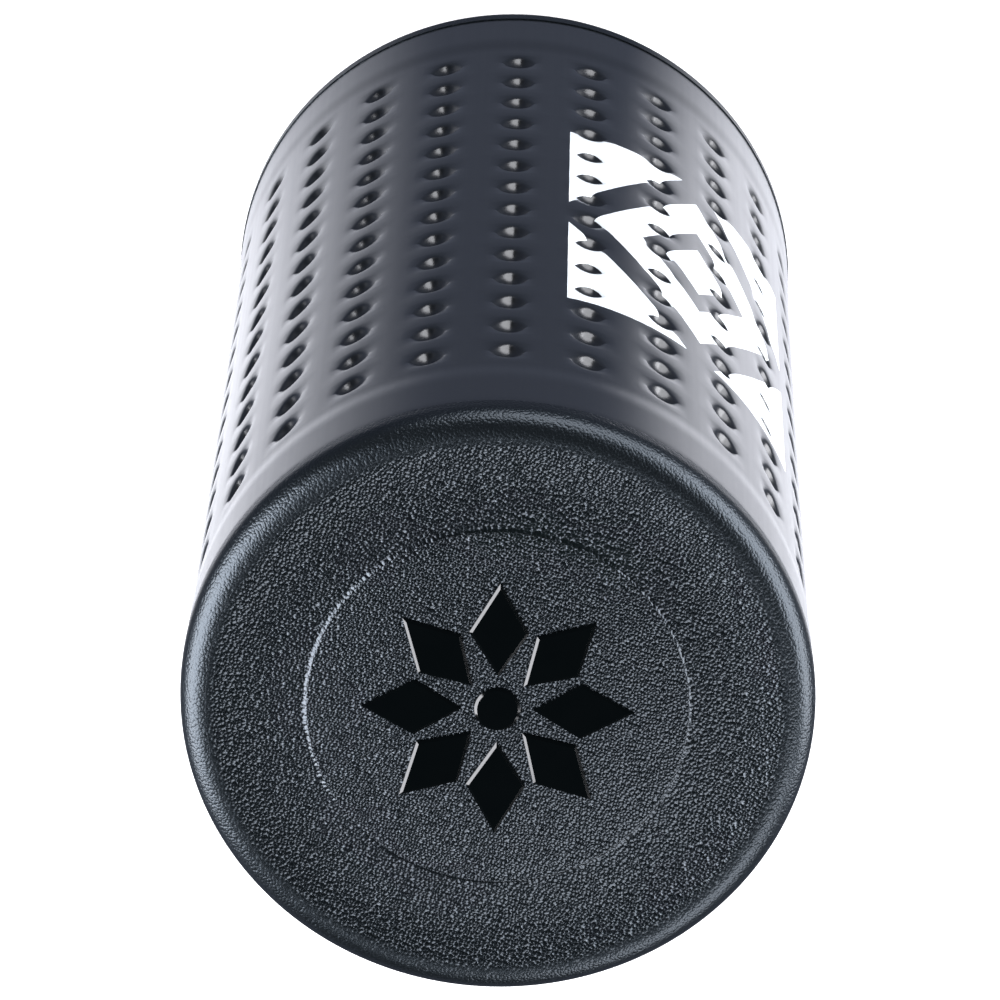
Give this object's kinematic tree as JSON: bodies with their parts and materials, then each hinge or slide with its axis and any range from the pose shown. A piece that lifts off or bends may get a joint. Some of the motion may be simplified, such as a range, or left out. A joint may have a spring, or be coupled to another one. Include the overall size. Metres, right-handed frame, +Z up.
{
  "type": "percussion shaker",
  "caption": "Cylindrical hand shaker: dimpled metal tube closed by moulded end caps, with loose steel pellets inside that are thrown and swirled to sound.",
  "frame": {"origin": "middle of the lower cap's outer face, in the plane of the rim that the shaker stands on", "axes": "+Z up along the tube, from the lower cap to the upper cap; +X and +Y are alike"},
  "size_m": [0.055, 0.055, 0.108],
  "materials": {
    "tube": "satin black coating on aluminium, with a white print",
    "cap": "black ABS with a coarse spark-eroded grain and a glossy raised star",
    "pellet": "tumbled steel shot"
  },
  "bodies": {
    "shell": {"tube": "tube", "cap_lower": "cap", "cap_upper": "cap"},
    "pellets_wall_ring": {"pellet_01": "pellet", "pellet_02": "pellet", "pellet_03": "pellet", "pellet_04": "pellet", "pellet_05": "pellet", "pellet_06": "pellet", "pellet_07": "pellet", "pellet_08": "pellet", "pellet_09": "pellet", "pellet_10": "pellet", "pellet_11": "pellet", "pellet_12": "pellet", "pellet_13": "pellet", "pellet_14": "pellet", "pellet_15": "pellet", "pellet_16": "pellet", "pellet_17": "pellet", "pellet_18": "pellet", "pellet_19": "pellet", "pellet_20": "pellet", "pellet_21": "pellet", "pellet_22": "pellet", "pellet_23": "pellet", "pellet_24": "pellet"},
    "pellets_second_ring": {"pellet_25": "pellet", "pellet_26": "pellet", "pellet_27": "pellet", "pellet_28": "pellet", "pellet_29": "pellet", "pellet_30": "pellet", "pellet_31": "pellet", "pellet_32": "pellet", "pellet_33": "pellet", "pellet_34": "pellet", "pellet_35": "pellet", "pellet_36": "pellet", "pellet_37": "pellet", "pellet_38": "pellet", "pellet_39": "pellet", "pellet_40": "pellet", "pellet_41": "pellet"},
    "pellets_third_ring": {"pellet_42": "pellet", "pellet_43": "pellet", "pellet_44": "pellet", "pellet_45": "pellet", "pellet_46": "pellet", "pellet_47": "pellet", "pellet_48": "pellet", "pellet_49": "pellet", "pellet_50": "pellet", "pellet_51": "pellet", "pellet_52": "pellet"},
    "pellets_middle": {"pellet_53": "pellet", "pellet_54": "pellet", "pellet_55": "pellet", "pellet_56": "pellet", "pellet_57": "pellet"}
  },
  "joints": [
    {"name": "wall_ring_swirl", "type": "hinge", "parent": "shell", "child": "pellets_wall_ring", "pos_m": [0, 0, 0.00575], "axis": [0, 0, 1], "continuous": true},
    {"name": "second_ring_throw", "type": "slide", "parent": "shell", "child": "pellets_second_ring", "axis": [0, 0, 1], "range_m": [0, 0.0965]},
    {"name": "third_ring_throw", "type": "slide", "parent": "shell", "child": "pellets_third_ring", "axis": [0, 0, 1], "range_m": [0, 0.0965]},
    {"name": "middle_throw", "type": "slide", "parent": "shell", "child": "pellets_middle", "axis": [0, 0, 1], "range_m": [0, 0.0965]}
  ]
}
